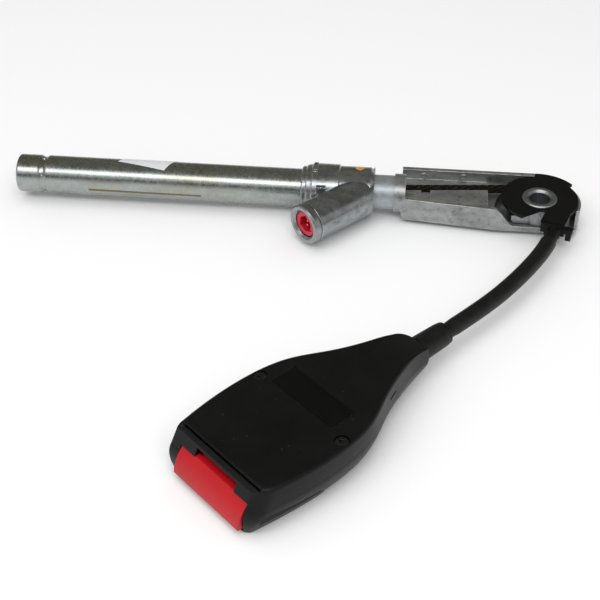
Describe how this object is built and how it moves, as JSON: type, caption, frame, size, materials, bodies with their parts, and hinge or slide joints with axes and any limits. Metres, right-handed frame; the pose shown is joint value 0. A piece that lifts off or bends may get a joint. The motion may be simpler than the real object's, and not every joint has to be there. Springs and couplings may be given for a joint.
{
  "type": "seat belt buckle with pretensioner",
  "caption": "Seat belt buckle on a sleeved cable stalk, anchored by a cast bracket with a bolt bush, with a gas-driven tensioner tube, side generator barrel and red press button.",
  "frame": {"origin": "centre of the anchor bolt's bore in the seat face, the underside of the bracket", "axes": "+Z along the bolt's bore out of the disc's side; +X along the pretensioner tube from its closed end towards the bolt; the rope leaves the bolt towards -Y"},
  "size_m": [0.3114, 0.2562, 0.0289],
  "materials": {
    "zinc_plated_steel": "bright zinc plated steel tube, lightly brushed",
    "cast_zinc": "die cast metal with a dull grey skin",
    "machined_steel": "machined steel",
    "polished_steel": "polished steel",
    "wire_rope": "stranded steel wire rope, slightly oiled",
    "spring_steel": "spring steel wire",
    "pressed_steel": "pressed steel plate",
    "gold_contact": "gilded contact pins",
    "black_shell": "grained black plastic",
    "black_guide": "moulded black plastic",
    "red_button": "red satin plastic",
    "red_insert": "red moulded connector insert",
    "black_rubber": "matt black rubber",
    "seal_rubber": "nitrile rubber"
  },
  "bodies": {
    "base": {"pretensioner_tube": "zinc_plated_steel", "tube_end_plug": "machined_steel", "manifold_housing": "cast_zinc", "neck_tube": "zinc_plated_steel", "gas_generator": "machined_steel", "generator_oring": "seal_rubber", "generator_retainer": "machined_steel", "connector_insert": "red_insert", "contact_pins": "gold_contact", "channel_bracket": "cast_zinc", "anchor_bush": "polished_steel", "rope_deflector": "machined_steel", "channel_rope": "wire_rope"},
    "piston": {"piston": "machined_steel", "piston_seal": "seal_rubber", "piston_rope": "wire_rope"},
    "stalk": {"cover_disc": "black_guide", "wrap_rope": "wire_rope", "rubber_sleeve": "black_rubber", "sleeve_rope": "wire_rope"},
    "head": {"tail_boot": "black_rubber", "tail_rope": "wire_rope", "rope_ferrule": "machined_steel", "upper_shell": "black_shell", "lower_shell": "black_shell", "shell_screws": "polished_steel", "buckle_frame": "pressed_steel", "button_springs": "spring_steel", "ejector_spring": "spring_steel"},
    "button": {"press_button": "red_button"},
    "latch": {"latch": "pressed_steel", "latch_pin": "polished_steel"},
    "ejector": {"ejector": "black_guide"}
  },
  "joints": [
    {"name": "stalk_swivel", "type": "hinge", "parent": "base", "child": "stalk", "pos_m": [0, 0, 0.011], "axis": [0, 0, 1], "range_deg": [-20, 0]},
    {"name": "head_pull_in", "type": "slide", "parent": "stalk", "child": "head", "axis": [0.5741, 0.8188, 0], "range_m": [0, 0.05], "deforming": ["rubber_sleeve", "sleeve_rope"]},
    {"name": "piston_stroke", "type": "slide", "parent": "base", "child": "piston", "axis": [-1, 0, 0], "range_m": [0, 0.05]},
    {"name": "button_press", "type": "slide", "parent": "head", "child": "button", "axis": [0.6833, 0.7302, 0], "range_m": [0, 0.006], "stiffness_N_per_m": 800, "springref_m": -0.002, "deforming": ["button_springs"]},
    {"name": "latch_release", "type": "slide", "parent": "head", "child": "latch", "axis": [0, 0, -1], "range_m": [0, 0.0036]},
    {"name": "ejector_slide", "type": "slide", "parent": "head", "child": "ejector", "axis": [0.6833, 0.7302, 0], "range_m": [0, 0.012], "stiffness_N_per_m": 300, "springref_m": -0.003, "deforming": ["ejector_spring"]}
  ],
  "couplings": [
    {"joint": "piston_stroke", "follows": "head_pull_in", "ratio": 1},
    {"joint": "latch_release", "follows": "button_press", "ratio": 0.6}
  ]
}
